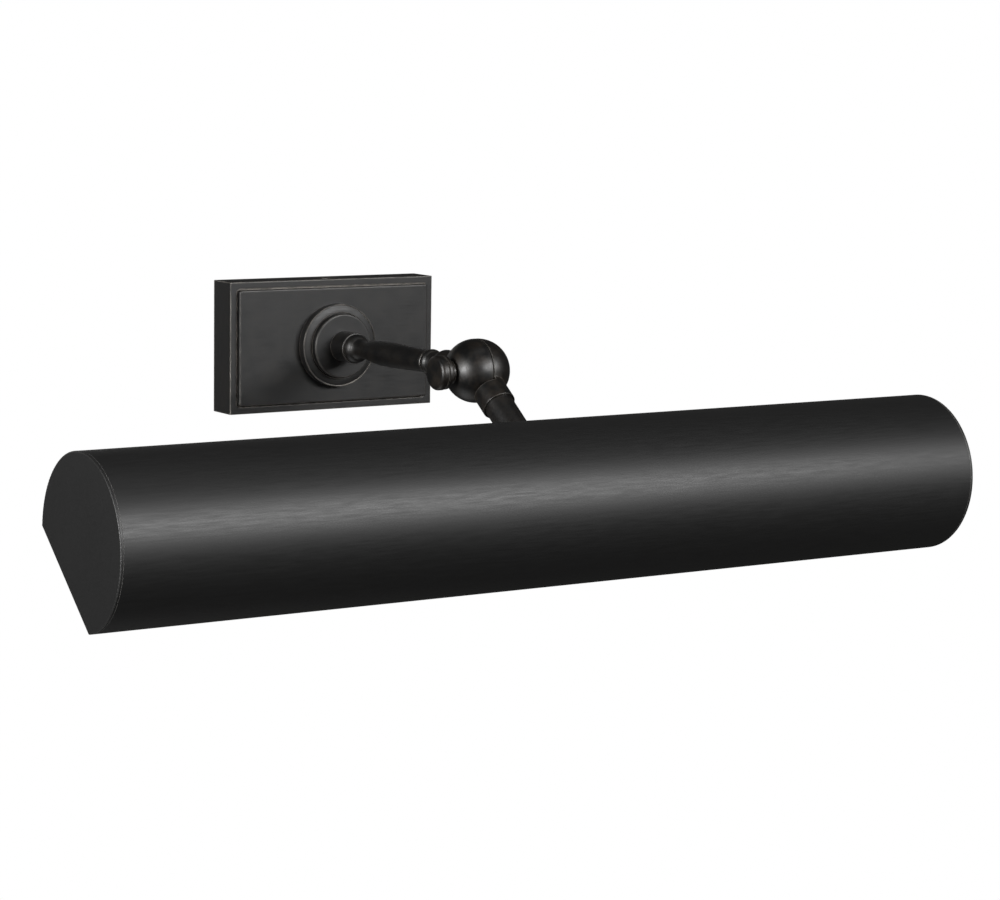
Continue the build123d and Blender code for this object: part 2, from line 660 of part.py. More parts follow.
def lamp_filament():
    """The lamp's glass stem and the long filaments that it carries."""
    stem_outline = [
        Line((66.0, 0), (66.0, 5.0)),
        Line((66.0, 5.0), (68.0, 5.0)),
        Spline((68.0, 5.0), (82.0, 2.0), tangents=((1, -0.6), (1, 0))),
        Line((82.0, 2.0), (86.0, 2.0)),
        Line((86.0, 2.0), (86.0, 0)),
        Line((86.0, 0), (66.0, 0)),
    ]
    mount = on_right_lamp(stem_outline)
    mount = mount + on_lamp_axis(0.5, 85.5, 150.0)
    mount = mount + on_lamp_axis(4.4, 85.0, 86.0) + on_lamp_axis(4.4, 148.5, 149.5)
    for turn in range(4):
        angle = math.radians(45 + 90 * turn)
        rod = Rot(0, 90, 0) * Cylinder(0.6, 63.5)
        place = Pos(117.25, 3.4 * math.cos(angle), LAMP_L + 3.4 * math.sin(angle))
        mount = mount + STEM * place * rod
    return mount


def bracket_screws():
    """Four pan-head screws that hold the two lamp sockets to the bracket."""
    screws = []
    for side in (1, -1):
        face = side * (BRACKET_HALF_X - BRACKET_T)
        for across in (-5.5, 5.5):
            head = on_lamp_axis(2.2, face - side * 1.5, face, across)
            shank = on_lamp_axis(1.15, face, face + side * 4.2, across)
            screws.append(head + shank)
    return Compound(screws)


# ---------------------------------------------------------------- wiring
def arm_cable():
    """The sheathed cable from the wall plate through the arm into the fixed half-ball."""
    points = [(0, -14, 0), (0, -123, 0), (-CABLE_OFFSET, -135, 0), (-CABLE_OFFSET, HINGE_Y + 9, 0)]
    return bent_wire(points, [18, 12], CABLE_R)


def stem_cable():
    """The cable from the moving half-ball through the stem to the lamp bracket."""
    places = [(CABLE_OFFSET, 9.0), (CABLE_OFFSET, 16.5), (0, 27.0), (0, STEM_NIPPLE_END + 1.5)]
    points = [HINGE + Vector(x, 0, 0) + STEM_DIR * along for x, along in places]
    return bent_wire(points, [9, 12], CABLE_R)


def supply_lead(turn, bend_x, end_x, end_z):
    """One lead from the arm's cable, bent over inside the wall plate."""
    x = 1.3 * math.cos(math.radians(turn))
    z = 1.3 * math.sin(math.radians(turn))
    points = [(x, -14, z), (x, -5.2, z), (bend_x, -5.2, end_z), (end_x, -5.2, end_z)]
    return bent_wire(points, [2.6, 5.0], LEAD_R - 0.05)


def wire_nuts(ends):
    """Closed-end connectors on the supply leads, as separate solids."""
    nuts = []
    for x, z in ends:
        outline = [
            Line((0, 0), (0, 4.2)),
            Line((0, 4.2), (7, 4.2)),
            Line((7, 4.2), (15, 2.8)),
            Line((15, 2.8), (16, 0)),
            Line((16, 0), (0, 0)),
        ]
        nut = revolve(make_face(outline), Axis.X, 360)
        turn = 0 if x > 0 else 180
        nuts.append(Pos(x, -7.2, z) * Rot(0, turn, 0) * nut)
    return Compound(nuts)


def socket_lead(side, across):
    """A lead from the cable's end to one terminal of one lamp socket."""
    start = STEM_NIPPLE_END + 1.5
    places = [
        (side * 1.0, across * 0.9, start),
        (side * 1.0, across * 0.9, start + 5.5),
        (side * 12.0, across * 1.5, LAMP_L),
        (side * 45.5, across * 1.5, LAMP_L),
    ]
    points = [STEM.from_local_coords(Vector(*place)) for place in places]
    return bent_wire(points, [3.0, 8.0], 0.85)


# ---------------------------------------------------------------- write every piece
def main():
    save("wall_plate", wall_plate())
    save("plate_screws", plate_screws())
    save("mounting_strap", mounting_strap())
    save("ground_screw", ground_screw())
    save("rosette_base", rosette_base())
    save("rosette_cap", rosette_cap())
    save("arm_collar", arm_collar())
    save("arm_nipple", arm_nipple())
    save("nipple_washer", nipple_washer())
    save("nipple_nut", nipple_nut())
    save("arm_tube", arm_tube())
    save("arm_ferrule", arm_ferrule())
    save("hinge_half_fixed", hinge_half_fixed())
    save("friction_washer", friction_washer())
    save("spring_washer", spring_washer())
    save("thumb_knob", thumb_knob())
    save("clamp_screw", clamp_screw())
    save("hinge_half_moving", hinge_half_moving())
    save("stem_tube", stem_tube())
    save("stem_nipple", stem_nipple())
    save("stem_saddle", stem_saddle())
    save("stem_nut", stem_nut())
    save("shade_shell", shade_shell())
    save("lamp_bracket", lamp_bracket())
    save("bracket_screws", bracket_screws())
    save("arm_cable", arm_cable())
    save("stem_cable", stem_cable())
    save("live_lead", supply_lead(90, 12.0, *LIVE_END))
    save("neutral_lead", supply_lead(-30, 12.0, *NEUTRAL_END))
    save("ground_lead", supply_lead(210, -12.0, GROUND_SCREW_X + 3.8, -4.0))
    save("wire_nuts", wire_nuts([LIVE_END, NEUTRAL_END]))

    for side_name, side in (("right", 1), ("left", -1)):
        save(f"end_cap_{side_name}", end_cap(side))
        save(f"lamp_socket_{side_name}", lamp_socket(side))
        save(f"screw_shell_{side_name}", screw_shell(side))
        save(f"centre_contact_{side_name}", centre_contact(side))
        save(f"socket_live_lead_{side_name}", socket_lead(side, 1))
        save(f"socket_neutral_lead_{side_name}", socket_lead(side, -1))
        for piece, make in (
            ("lamp_glass", lamp_glass),
            ("lamp_cap", lamp_cap),
            ("lamp_filament", lamp_filament),
        ):
            shape = make()
            if side < 0:
                shape = mirror(shape, about=Plane.YZ)
            save(f"{piece}_{side_name}", shape)


if __name__ == "__main__":
    main()
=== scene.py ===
# %% [markdown]
# # A picture light, finished in Blender
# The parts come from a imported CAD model, already in place and at their real size. This lesson
# puts a studio round them, gives every part its finish, and makes the few shapes that CAD
# leaves plain: the rolled shade, screw threads, ribbed wire connectors and lamp filaments.

# %% Load the frame
import json
import math

import bmesh
import bpy
from mathutils import Matrix, Vector


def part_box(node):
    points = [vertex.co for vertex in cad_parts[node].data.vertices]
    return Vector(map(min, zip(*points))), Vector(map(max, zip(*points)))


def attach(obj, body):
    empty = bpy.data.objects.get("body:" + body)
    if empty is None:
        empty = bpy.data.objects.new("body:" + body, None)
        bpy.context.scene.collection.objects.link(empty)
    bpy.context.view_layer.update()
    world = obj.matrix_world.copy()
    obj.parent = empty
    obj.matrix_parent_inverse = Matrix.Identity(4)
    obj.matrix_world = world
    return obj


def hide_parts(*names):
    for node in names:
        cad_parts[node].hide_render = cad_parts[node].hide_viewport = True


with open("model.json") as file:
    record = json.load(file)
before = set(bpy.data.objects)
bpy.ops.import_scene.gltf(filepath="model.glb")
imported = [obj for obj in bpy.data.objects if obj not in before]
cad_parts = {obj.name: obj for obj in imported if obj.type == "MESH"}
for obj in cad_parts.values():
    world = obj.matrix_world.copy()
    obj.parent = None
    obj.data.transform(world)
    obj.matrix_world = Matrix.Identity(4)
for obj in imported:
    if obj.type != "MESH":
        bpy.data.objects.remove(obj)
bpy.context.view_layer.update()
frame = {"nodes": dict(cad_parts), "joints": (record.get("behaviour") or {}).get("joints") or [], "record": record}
record = frame["record"]
for flat_colour in list(bpy.data.materials):  # every part gets a finish below
    bpy.data.materials.remove(flat_colour)
MM = 0.001

# %% [markdown]
# ## The camera
# The light is seen from the left and slightly above, from about a metre and a half away and
# through a long lens. A long lens keeps the two ends of the shade nearly the same size. The camera's
# turn is built from its heading, its downward pitch and a small roll.

# %% Camera
CAMERA_AT = Vector((-736.57, -1295.87, 148.78)) * MM
HEADING = math.radians(33.27)  # from +Y towards +X
PITCH = math.radians(7.79)  # downwards
ROLL = math.radians(0.91)

camera_data = bpy.data.cameras.new("camera")
camera_data.sensor_width = 36.0
camera_data.lens = 105.2
camera_data.clip_start = 0.05
camera = bpy.data.objects.new("camera", camera_data)
bpy.context.scene.collection.objects.link(camera)
turn = Matrix.Rotation(-HEADING, 4, "Z") @ Matrix.Rotation(math.pi / 2 - PITCH, 4, "X")
camera.matrix_world = Matrix.Translation(CAMERA_AT) @ turn @ Matrix.Rotation(ROLL, 4, "Z")
bpy.context.scene.camera = camera
print("camera looks along", [round(v, 3) for v in -camera.matrix_world.col[2].xyz])

# %% [markdown]
# ## Floor and backdrop
# A black object on white paper shows its outline best. The floor and the dome round it glow an
# even white for the camera and for the lamp glass, but they are left out of reflections,
# so the black paint stays deep and only the softboxes draw highlights on it. The floor glows
# on its upper side only, and is clear from below, so the lamps can be looked at from there.

# %% Studio surfaces
FLOOR_Z = -0.55
STUDIO_R = 6.0
STUDIO_WHITE = (1.0, 1.0, 1.0, 1.0)


def paper(name, glow_from_behind):
    """A plain white material that glows evenly, on one side or on both."""
    material = bpy.data.materials.new(name)
    material.use_nodes = True
    tree = material.node_tree
    tree.nodes.clear()
    glow = tree.nodes.new("ShaderNodeEmission")
    glow.inputs["Color"].default_value = STUDIO_WHITE
    clear = tree.nodes.new("ShaderNodeBsdfTransparent")
    side = tree.nodes.new("ShaderNodeNewGeometry")
    behind = tree.nodes.new("ShaderNodeMix")
    behind.data_type = "FLOAT"
    behind.inputs["B"].default_value = 0.0 if glow_from_behind else 1.0
    tree.links.new(side.outputs["Backfacing"], behind.inputs["Factor"])
    either = tree.nodes.new("ShaderNodeMixShader")
    tree.links.new(behind.outputs["Result"], either.inputs["Fac"])
    tree.links.new(glow.outputs["Emission"], either.inputs[1])
    tree.links.new(clear.outputs["BSDF"], either.inputs[2])
    out = tree.nodes.new("ShaderNodeOutputMaterial")
    tree.links.new(either.outputs["Shader"], out.inputs["Surface"])
    return material


def stage_piece(name, material):
    """Mark the active object as part of the studio, seen only directly or through glass."""
    piece = bpy.context.object
    piece.name = name
    piece.data.materials.append(material)
    piece.visible_diffuse = False
    piece.visible_glossy = False
    piece.visible_shadow = False
    return piece


bpy.ops.mesh.primitive_circle_add(
    vertices=96, radius=STUDIO_R, fill_type="NGON", location=(0, 0, FLOOR_Z)
)
stage_piece("studio_floor", paper("floor_paper", glow_from_behind=False))
bpy.ops.mesh.primitive_uv_sphere_add(
    segments=64, ring_count=32, radius=STUDIO_R, location=(0, 0, FLOOR_Z)
)
stage_piece("studio_backdrop", paper("backdrop_paper", glow_from_behind=True))

world = bpy.data.worlds.new("studio")
bpy.context.scene.world = world
world.use_nodes = True
room = world.node_tree.nodes["Background"]
room.inputs["Color"].default_value = (1.0, 0.99, 0.97, 1.0)
room.inputs["Strength"].default_value = 0.05
bpy.context.scene.view_settings.view_transform = "Standard"
print("floor at", FLOOR_Z, "m")

# %% [markdown]
# ## Lights
# Two softboxes do most of the work. The wide one stands in front and above, and its reflection
# is the long band on the shade. The small one stands on the left and puts the bright spot on the
# ball. Three weak ones, above, behind and below, keep the other sides readable. A softbox's
# place is given as a direction and a distance from the object.


# %% Softboxes
def softbox(name, azimuth, elevation, distance, size, power):
    """An area light aimed at the object. Azimuth goes from the front, -Y, towards -X."""
    data = bpy.data.lights.new(name, "AREA")
    data.shape = "RECTANGLE"
    data.size, data.size_y = size
    data.energy = power
    lamp = bpy.data.objects.new(name, data)
    bpy.context.scene.collection.objects.link(lamp)
    a, e = math.radians(azimuth), math.radians(elevation)
    away = Vector((-math.sin(a) * math.cos(e), -math.cos(a) * math.cos(e), math.sin(e)))
    lamp.location = LIT_POINT + away * distance
    lamp.rotation_mode = "QUATERNION"
    lamp.rotation_quaternion = (-away).to_track_quat("-Z", "Y")
    return lamp


LIT_POINT = Vector((0.0, -0.17, -0.03))
softbox("front_softbox", -22, 20.5, 1.9, (1.4, 0.42), 43)
softbox("left_softbox", 76, 12, 1.3, (0.32, 0.32), 22)
softbox("top_softbox", -10, 78, 1.6, (1.2, 0.4), 1.2)
softbox("back_softbox", 180, 4, 1.8, (1.2, 0.9), 2.5)
softbox("under_softbox", 150, -66, 1.8, (1.4, 1.0), 3.5)

# %% [markdown]
# ## Building materials from nodes
# Every finish starts as a Principled shader. Patterns come from noise in object coordinates,
# which are metres here because each part sits at the origin with its place in its mesh. The
# helpers below add one thing each: a noise, a stretched range, a bump or a mask of the edges.


# %% Node helpers
def new_material(name):
    """A material with a Principled shader: (material, node tree, shader)."""
    material = bpy.data.materials.new(name)
    material.use_nodes = True
    tree = material.node_tree
    shader = next(n for n in tree.nodes if n.type == "BSDF_PRINCIPLED")
    return material, tree, shader


def noise(tree, scale, stretch=(1, 1, 1), detail=3.0, roughness=0.5):
    """Noise in object coordinates: scale is in cycles per metre, stretch multiplies it per axis."""
    place = tree.nodes.new("ShaderNodeTexCoord")
    mapping = tree.nodes.new("ShaderNodeMapping")
    mapping.inputs["Scale"].default_value = stretch
    tree.links.new(place.outputs["Object"], mapping.inputs["Vector"])
    texture = tree.nodes.new("ShaderNodeTexNoise")
    texture.inputs["Scale"].default_value = scale
    texture.inputs["Detail"].default_value = detail
    texture.inputs["Roughness"].default_value = roughness
    tree.links.new(mapping.outputs["Vector"], texture.inputs["Vector"])
    return texture.outputs["Fac"]


def ranged(tree, value, low, high, from_low=0.0, from_high=1.0):
    """Move a value from one range to another, clamped."""
    node = tree.nodes.new("ShaderNodeMapRange")
    node.inputs["From Min"].default_value = from_low
    node.inputs["From Max"].default_value = from_high
    node.inputs["To Min"].default_value = low
    node.inputs["To Max"].default_value = high
    tree.links.new(value, node.inputs["Value"])
    return node.outputs["Result"]


def mixed(tree, factor, first, second):
    """Mix two colours, each a tuple or a socket, by a factor socket."""
    node = tree.nodes.new("ShaderNodeMix")
    node.data_type = "RGBA"
    tree.links.new(factor, node.inputs["Factor"])
    # A Mix node has a pair of sockets for each data type. These places hold the colours.
    for socket, colour in ((node.inputs[6], first), (node.inputs[7], second)):
        if isinstance(colour, tuple):
            socket.default_value = (*colour, 1.0)
        else:
            tree.links.new(colour, socket)
    return node.outputs[2]


def combined(tree, operation, first, second):
    """Math on two values, each a number or a socket."""
    node = tree.nodes.new("ShaderNodeMath")
    node.operation = operation
    node.use_clamp = operation != "SUBTRACT"
    for socket, value in zip(node.inputs, (first, second)):
        if isinstance(value, (int, float)):
            socket.default_value = value
        else:
            tree.links.new(value, socket)
    return node.outputs["Value"]


def add_bump(tree, shader, height, depth_mm, rounded=None):
    """Raise the surface by a height pattern, this many millimetres from 0 to 1."""
    node = tree.nodes.new("ShaderNodeBump")
    node.inputs["Distance"].default_value = depth_mm * MM
    tree.links.new(height, node.inputs["Height"])
    if rounded:
        tree.links.new(rounded, node.inputs["Normal"])
    tree.links.new(node.outputs["Normal"], shader.inputs["Normal"])


def rounded_edges(tree, radius_mm):
    """The surface's direction, as if each sharp edge were rounded by this radius."""
    node = tree.nodes.new("ShaderNodeBevel")
    node.samples = 6
    node.inputs["Radius"].default_value = radius_mm * MM
    return node.outputs["Normal"]


def edge_mask(tree, rounded, sharpness=0.25):
    """1 along sharp edges and 0 on flat faces, from how far a rounded normal turns away."""
    face = tree.nodes.new("ShaderNodeNewGeometry")
    dot = tree.nodes.new("ShaderNodeVectorMath")
    dot.operation = "DOT_PRODUCT"
    tree.links.new(rounded, dot.inputs[0])
    tree.links.new(face.outputs["Normal"], dot.inputs[1])
    return ranged(tree, dot.outputs["Value"], 1.0, 0.0, 1.0 - sharpness, 1.0)


print("node helpers ready")

# %% [markdown]
# ## The dark finishes
# The plate, its discs, the arm and the knuckle are bronze under a nearly black patina. It is
# satin and a little mottled with brown. Its edges are painted lighter: partly rubbed wear, partly a
# painted highlight where the rounded edges catch the softboxes. On the plate and its discs it is brushed along X.
# The shade is painted sheet: blacker, smoother, with faint streaks along its length, and a painted highlight along
# its edges.


# %% Patinated bronze and shade paint
def patina(name, grain, roughness, brown, edge_rub_and_highlight=1.0, edge_mm=0.55, brushing_mm=0.003):
    """Nearly black bronze. grain stretches the brushing, and is small along its direction."""
    material, tree, shader = new_material(name)
    cloud = noise(tree, 130, detail=6.0, roughness=0.6)
    browned = ranged(tree, cloud, 0, brown, 0.42, 0.68)
    dark = mixed(tree, browned, (0.0012, 0.0012, 0.0012), (0.010, 0.0068, 0.0040))
    scratches = noise(tree, 1400, grain, detail=4.0, roughness=0.6)
    rounded = rounded_edges(tree, edge_mm)
    edges = edge_mask(tree, rounded)
    worn = ranged(tree, noise(tree, 220, detail=3.0), 0.4, 1.0, 0.35, 0.6)
    # The edges get a lighter, partly metallic colour: partly rubbed wear, partly a painted highlight.
    rub_and_highlight = combined(tree, "MULTIPLY", combined(tree, "MULTIPLY", edges, worn), edge_rub_and_highlight)
    tree.links.new(mixed(tree, rub_and_highlight, dark, (0.60, 0.55, 0.49)), shader.inputs["Base Color"])
    tree.links.new(ranged(tree, rub_and_highlight, 0.0, 0.5), shader.inputs["Metallic"])
    satin = ranged(tree, scratches, roughness - 0.07, roughness + 0.07, 0.3, 0.7)
    mottle = 0.02 + 0.06 * brown
    patchy = ranged(tree, cloud, -mottle, mottle, 0.3, 0.7)
    tree.links.new(combined(tree, "ADD", satin, patchy), shader.inputs["Roughness"])
    add_bump(tree, shader, scratches, brushing_mm, rounded)
    return material


def shade_paint():
    """Satin black paint over brushed sheet, streaked along X, with a painted highlight along its edges."""
    material, tree, shader = new_material("satin_black_paint")
    streaks = noise(tree, 1100, (0.07, 1, 1), detail=3.0, roughness=0.6)
    cloud = noise(tree, 22, (0.4, 1, 1), detail=2.0)
    black = mixed(tree, cloud, (0.004, 0.004, 0.004), (0.006, 0.006, 0.006))
    rounded = rounded_edges(tree, 0.4)
    # A painted highlight: the edges are mixed towards a light grey.
    edges = ranged(tree, edge_mask(tree, rounded), 0.0, 0.5)
    tree.links.new(mixed(tree, edges, black, (0.30, 0.29, 0.28)), shader.inputs["Base Color"])
    satin = ranged(tree, streaks, 0.46, 0.55, 0.3, 0.7)
    tree.links.new(satin, shader.inputs["Roughness"])
    add_bump(tree, shader, streaks, 0.006, rounded)
    return material


ALONG_X = (0.06, 1, 1)
EVEN = (1, 1, 1)
plate_bronze = patina("plate_bronze", ALONG_X, 0.44, 0.2, edge_mm=0.8, brushing_mm=0.014)
rosette_bronze = patina("rosette_bronze", ALONG_X, 0.52, 0.3, edge_rub_and_highlight=0.5, brushing_mm=0.010)
arm_bronze = patina("arm_bronze", EVEN, 0.44, 0.4, edge_rub_and_highlight=0.8)
knuckle_bronze = patina("knuckle_bronze", EVEN, 0.40, 0.9, edge_rub_and_highlight=0.35)
black_paint = shade_paint()
dark_finishes = (plate_bronze, rosette_bronze, arm_bronze, knuckle_bronze, black_paint)
print("dark finishes:", [m.name for m in dark_finishes])

# %% [markdown]
# ## Bare metals
# Plated steel and brass are metals, so their colour is the colour of their reflection. The
# steel is brushed along X. All of them are tarnished in patches and lighter on their edges.


# %% Steel, brass and the green screw
def bare_metal(name, colour, tarnish, roughness, grain, bump_mm=0.003):
    """A metal with brushing, patches of tarnish and lighter edges."""
    material, tree, shader = new_material(name)
    shader.inputs["Metallic"].default_value = 1.0
    patches = noise(tree, 90, detail=4.0)
    brushing = noise(tree, 1500, grain, detail=3.0, roughness=0.6)
    base = mixed(tree, ranged(tree, patches, 0.0, 0.8, 0.4, 0.75), colour, tarnish)
    lighter = tuple(min(1.0, c * 1.25) for c in colour)
    rounded = rounded_edges(tree, 0.3)
    edges = ranged(tree, edge_mask(tree, rounded), 0.0, 0.6)
    tree.links.new(mixed(tree, edges, base, lighter), shader.inputs["Base Color"])
    satin = ranged(tree, brushing, roughness - 0.08, roughness + 0.08, 0.3, 0.7)
    tree.links.new(satin, shader.inputs["Roughness"])
    add_bump(tree, shader, brushing, bump_mm, rounded)
    return material


zinc_steel = bare_metal("zinc_steel", (0.62, 0.62, 0.60), (0.47, 0.46, 0.42), 0.36, (0.05, 1, 1))
lamp_brass = bare_metal("lamp_brass", (0.83, 0.63, 0.31), (0.60, 0.42, 0.19), 0.28, EVEN)
ground_green = bare_metal("ground_green", (0.05, 0.34, 0.12), (0.03, 0.22, 0.08), 0.3, EVEN)
print("bare metals:", zinc_steel.name, lamp_brass.name, ground_green.name)

# %% [markdown]
# ## Moulded and soft finishes
# Plastics differ in gloss and in how fine their mould texture is. The white inside of the shade
# is sprayed enamel with a slight orange peel. Each is one helper with its own numbers.


# %% Plastics, fibre and enamel
def moulded(name, colour, second, roughness, peel_scale, peel_mm):
    """A plastic, fibre or enamel surface: mottled colour, mould texture and gloss."""
    material, tree, shader = new_material(name)
    tone = noise(tree, 160, detail=3.0)
    tree.links.new(mixed(tree, tone, colour, second), shader.inputs["Base Color"])
    peel = noise(tree, peel_scale, detail=2.0)
    satin = ranged(tree, peel, roughness - 0.06, roughness + 0.06, 0.3, 0.7)
    tree.links.new(satin, shader.inputs["Roughness"])
    add_bump(tree, shader, peel, peel_mm)
    return material


white_enamel = moulded("white_enamel", (0.80, 0.79, 0.76), (0.86, 0.85, 0.82), 0.42, 700, 0.012)
fibre = moulded("fibre", (0.30, 0.11, 0.06), (0.22, 0.08, 0.045), 0.75, 2600, 0.03)
cable_sheath = moulded("cable_sheath", (0.035, 0.035, 0.035), (0.05, 0.05, 0.05), 0.55, 1800, 0.01)
lead_black = moulded("lead_black", (0.02, 0.02, 0.02), (0.035, 0.035, 0.035), 0.4, 1800, 0.006)
lead_white = moulded("lead_white", (0.80, 0.80, 0.76), (0.86, 0.86, 0.83), 0.4, 1800, 0.006)
lead_green = moulded("lead_green", (0.05, 0.30, 0.09), (0.07, 0.36, 0.12), 0.4, 1800, 0.006)
nut_plastic = moulded("nut_plastic", (0.75, 0.22, 0.03), (0.82, 0.28, 0.05), 0.5, 2000, 0.01)
socket_moulding = moulded("socket_moulding", (0.50, 0.40, 0.24), (0.56, 0.46, 0.29), 0.3, 1200, 0.006)
phosphor = moulded("phosphor", (0.90, 0.62, 0.14), (0.95, 0.70, 0.22), 0.6, 4000, 0.02)
moulded_finishes = (white_enamel, fibre, cable_sheath, lead_black, lead_white, lead_green)
print("moulded finishes:", [m.name for m in (*moulded_finishes, nut_plastic, socket_moulding, phosphor)])

# %% [markdown]
# ## Lamp glass
# Clear glass needs only a transmission shader. Real lamp glass is drawn tube, so its wall has
# slow waves along its length, which bend the filaments slightly. A bump gives those waves.


# %% Glass
def clear_glass(name):
    """Drawn glass with slow waves and a trace of warm tint."""
    material, tree, shader = new_material(name)
    shader.inputs["Transmission Weight"].default_value = 1.0
    shader.inputs["Roughness"].default_value = 0.02
    shader.inputs["IOR"].default_value = 1.5
    tint = noise(tree, 40, detail=1.0)
    warm = mixed(tree, tint, (0.98, 0.97, 0.94), (1.0, 1.0, 0.99))
    tree.links.new(warm, shader.inputs["Base Color"])
    add_bump(tree, shader, noise(tree, 120, (0.3, 1, 1), detail=1.0), 0.02)
    return material


lamp_glass = clear_glass("lamp_glass")
print("glass ready")

# %% [markdown]
# ## Finishes for the CAD parts
# The record names a material slot for each part, so one table from slot to finish covers them
# all. The plate, its screws and its discs share a slot with the arm and the knuckle, but not a
# finish: they are brushed along X, and the others have no direction. A short list names the
# parts whose finish isn't their slot's.

# %% Assign finishes
SLOT_FINISH = {
    "bronze_black": arm_bronze,
    "shade_black": black_paint,
    "zinc_steel": zinc_steel,
    "lamp_brass": lamp_brass,
    "ground_green": ground_green,
    "fibre": fibre,
    "cable_sheath": cable_sheath,
    "lead_black": lead_black,
    "lead_white": lead_white,
    "lead_green": lead_green,
    "wire_nut": nut_plastic,
    "socket_moulding": socket_moulding,
    "lamp_glass": lamp_glass,
    "filament": phosphor,
}
PART_FINISH = {
    "wall_plate": plate_bronze,
    "plate_screws": plate_bronze,
    "rosette_base": rosette_bronze,
    "rosette_cap": plate_bronze,
    "hinge_half_fixed": knuckle_bronze,
    "hinge_half_moving": knuckle_bronze,
    "thumb_knob": knuckle_bronze,
}
slot_of = {part["node"]: part["material_slot"] for part in record["subparts"]}
body_of = {node: body for body, nodes in record["behaviour"]["bodies"].items() for node in nodes}
for node, part in frame["nodes"].items():
    part.data.materials.clear()
    part.data.materials.append(PART_FINISH.get(node, SLOT_FINISH[slot_of[node]]))
print(len(frame["nodes"]), "parts have a finish")

# %% [markdown]
# ## Places worked out from the frame
# The hinge comes from the tilt joint. The shade's radius is given, and its axis comes from its box. The stem
# leaves the hinge at a fixed angle, and the lamps lie along X at a set distance along it.

# %% Places
tilt = next(joint for joint in frame["joints"] if joint["name"] == "shade_tilt")
HINGE = Vector(tilt["pos_m"])
STEM_ANGLE = math.radians(53.8)  # from straight down, towards the room
STEM = Vector((0, -math.sin(STEM_ANGLE), -math.cos(STEM_ANGLE)))
LAMP_FROM_HINGE = 66.0 * MM
LAMP_AXIS = HINGE + STEM * LAMP_FROM_HINGE

SHADE_R = 38.1 * MM
shell_low, shell_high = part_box("shade_shell")
SHADE_AXIS = Vector((0, shell_low.y + SHADE_R, shell_high.z - SHADE_R))
SHELL_LENGTH = shell_high.x - shell_low.x
print("shade axis in mm:", [round(v / MM, 2) for v in SHADE_AXIS])


# %% [markdown]
# ## Turning node results into plain parts
# Geometry Nodes make what repeats or follows a path. Once a tree has run, its result is copied
# into a plain mesh, moved into place, and the modifier goes. These helpers do that, and they
# set a tree's inputs by socket identifier, which stays true when a name changes.


# %% Geometry Nodes helpers
def new_tree(name, inputs):
    """A geometry node tree with float or integer inputs: (tree, input node, output node)."""
    tree = bpy.data.node_groups.new(name, "GeometryNodeTree")
    tree.interface.new_socket("Geometry", in_out="INPUT", socket_type="NodeSocketGeometry")
    for label, kind in inputs:
        tree.interface.new_socket(label, in_out="INPUT", socket_type=kind)
    tree.interface.new_socket("Geometry", in_out="OUTPUT", socket_type="NodeSocketGeometry")
    return tree, tree.nodes.new("NodeGroupInput"), tree.nodes.new("NodeGroupOutput")


def finish_tree(tree, geometry, out):
    """End a tree in Realize Instances, Set Shade Smooth and Set Material."""
    realize = tree.nodes.new("GeometryNodeRealizeInstances")
    smooth = tree.nodes.new("GeometryNodeSetShadeSmooth")
    paint = tree.nodes.new("GeometryNodeSetMaterial")
    tree.links.new(geometry, realize.inputs["Geometry"])
    tree.links.new(realize.outputs["Geometry"], smooth.inputs["Geometry"])
    tree.links.new(smooth.outputs["Geometry"], paint.inputs["Geometry"])
    tree.links.new(paint.outputs["Geometry"], out.inputs["Geometry"])
    return paint


def add_object(name, data):
    """Link a mesh or a curve as an object at the origin."""
    made = bpy.data.objects.new(name, data)
    bpy.context.scene.collection.objects.link(made)
    return made


def frozen(holder):
    """The mesh that an object has once its modifiers have run. The object itself goes."""
    graph = bpy.context.evaluated_depsgraph_get()
    mesh = bpy.data.meshes.new_from_object(holder.evaluated_get(graph), depsgraph=graph)
    bpy.data.objects.remove(holder)
    return mesh


def run_tree(tree, values, material, start=None):
    """Run a tree on start, or on nothing, and return its result as a plain mesh."""
    holder = add_object("holder", start or bpy.data.meshes.new("empty"))
    modifier = holder.modifiers.new("nodes", "NODES")
    paint = next(n for n in tree.nodes if n.bl_idname == "GeometryNodeSetMaterial")
    paint.inputs["Material"].default_value = material
    modifier.node_group = tree
    for item in tree.interface.items_tree:
        if item.in_out == "INPUT" and item.name in values:
            modifier[item.identifier] = values[item.name]
    return frozen(holder)


SHARP_FROM = math.radians(35)


def add_part(name, mesh, body, replaces=()):
    """Link a finished mesh, smooth but for its sharp edges, as a part that rides on a body."""
    mesh.name = name
    mesh.set_sharp_from_angle(angle=SHARP_FROM)
    part = add_object(name, mesh)
    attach(part, body)
    if replaces:
        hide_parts(*replaces)
    return part


def from_axes(origin, x_axis, y_axis, z_axis):
    """The matrix that puts local axes along these directions at an origin."""
    turned = Matrix((x_axis, y_axis, z_axis)).transposed().to_4x4()
    return Matrix.Translation(origin) @ turned


print("geometry helpers ready")

# %% [markdown]
# ## The rolled shade
# The real shade is one sheet rolled to a C, with each long edge folded back on itself as a hem.
# Its section is a rule: a long arc, a tight turn and a short arc back. A node tree sweeps
# that section along a straight line. Solidify then gives the sheet its thickness, with
# white enamel on the inner side and black paint outside.

# %% Shade section
SHEET_T = 0.9 * MM
BACK_EDGE = math.radians(3.2)  # from +Y towards +Z
LOWER_EDGE = math.radians(257.9)
HEM_W = 6.0 * MM
HEM_STEPS = 6
FOLD_STEPS = 6
ARC_STEPS = 150


